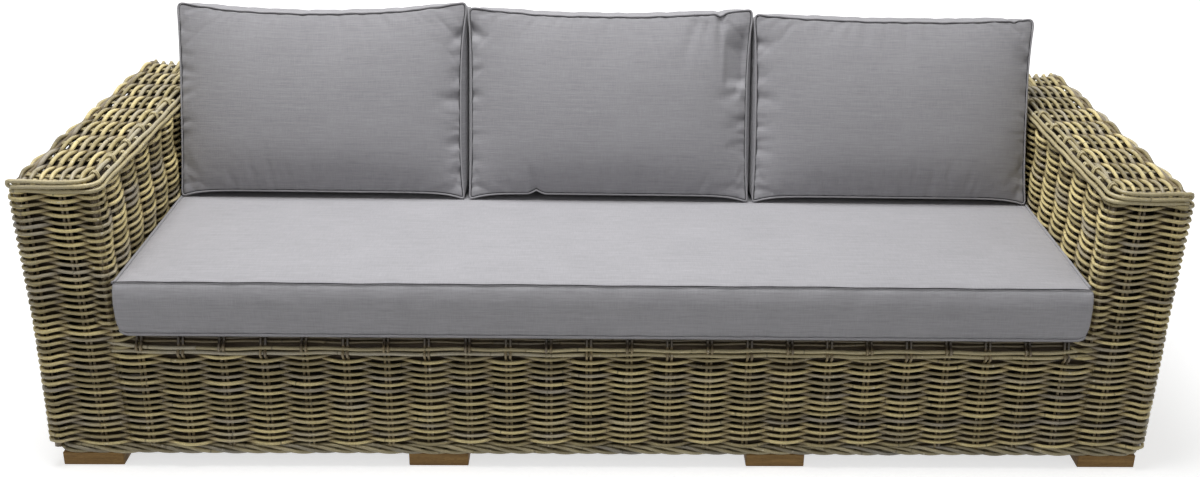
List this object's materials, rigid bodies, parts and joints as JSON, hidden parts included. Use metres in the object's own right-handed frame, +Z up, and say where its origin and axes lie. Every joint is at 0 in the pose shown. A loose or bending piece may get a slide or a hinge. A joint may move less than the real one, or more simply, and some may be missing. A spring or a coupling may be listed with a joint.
{
  "type": "rattan garden sofa",
  "caption": "Low garden sofa in woven rattan over a wooden frame, with block feet, a long seat cushion and loose back cushions.",
  "frame": {"origin": "on the floor, in the middle of the whole sofa's footprint, cushions included", "axes": "+X to the right as seen from the front, +Y to the rear, +Z up"},
  "size_m": [2.4, 0.938, 0.8759],
  "materials": {
    "rattan": "satin",
    "border_rattan": "satin",
    "frame_wood": "matte",
    "foot_wood": "satin",
    "fabric": "matte"
  },
  "bodies": {
    "sofa_body": {"arm_front_weave_left": "rattan", "arm_front_weave_right": "rattan", "arm_inner_weave_left": "rattan", "arm_inner_weave_right": "rattan", "arm_outer_weave_left": "rattan", "arm_outer_weave_right": "rattan", "arm_post_front_left": "frame_wood", "arm_post_front_right": "frame_wood", "arm_post_rear_left": "frame_wood", "arm_post_rear_right": "frame_wood", "arm_rail_inner_left": "frame_wood", "arm_rail_inner_right": "frame_wood", "arm_rail_outer_left": "frame_wood", "arm_rail_outer_right": "frame_wood", "arm_top_weave_left": "rattan", "arm_top_weave_right": "rattan", "back_inner_weave": "rattan", "back_outer_weave": "rattan", "back_rail_front": "frame_wood", "back_rail_rear": "frame_wood", "back_rib_left": "frame_wood", "back_rib_right": "frame_wood", "back_top_weave": "rattan", "base_bearer_left": "frame_wood", "base_bearer_right": "frame_wood", "base_border_front": "border_rattan", "base_border_left": "border_rattan", "base_border_rear": "border_rattan", "base_border_right": "border_rattan", "base_rail_front": "frame_wood", "base_rail_left": "frame_wood", "base_rail_rear": "frame_wood", "base_rail_right": "frame_wood", "corner_post_front_left": "frame_wood", "corner_post_front_right": "frame_wood", "corner_post_rear_left": "frame_wood", "corner_post_rear_right": "frame_wood", "foot_front_end_left": "foot_wood", "foot_front_end_right": "foot_wood", "foot_front_middle_left": "foot_wood", "foot_front_middle_right": "foot_wood", "foot_rear_end_left": "foot_wood", "foot_rear_end_right": "foot_wood", "foot_rear_middle_left": "foot_wood", "foot_rear_middle_right": "foot_wood", "front_apron_weave": "rattan", "seat_bearer_end_left": "frame_wood", "seat_bearer_end_right": "frame_wood", "seat_bearer_middle_left": "frame_wood", "seat_bearer_middle_right": "frame_wood", "seat_deck_weave": "rattan", "seat_leg_left": "frame_wood", "seat_leg_right": "frame_wood", "seat_rail_front": "frame_wood", "seat_rail_rear": "frame_wood"},
    "seat_cushion": {"seat_cushion": "fabric"},
    "back_cushion_left": {"back_cushion_left": "fabric"},
    "back_cushion_middle": {"back_cushion_middle": "fabric"},
    "back_cushion_right": {"back_cushion_right": "fabric"}
  },
  "joints": [
    {"name": "seat_cushion_slide", "type": "slide", "parent": "sofa_body", "child": "seat_cushion", "axis": [0, -1, 0], "range_m": [0, 0.8]},
    {"name": "back_cushion_left_slide", "type": "slide", "parent": "sofa_body", "child": "back_cushion_left", "axis": [0, 0.2924, 0.9563], "range_m": [0, 0.5]},
    {"name": "back_cushion_middle_slide", "type": "slide", "parent": "sofa_body", "child": "back_cushion_middle", "axis": [0, 0.2924, 0.9563], "range_m": [0, 0.5]},
    {"name": "back_cushion_right_slide", "type": "slide", "parent": "sofa_body", "child": "back_cushion_right", "axis": [0, 0.2924, 0.9563], "range_m": [0, 0.5]}
  ]
}
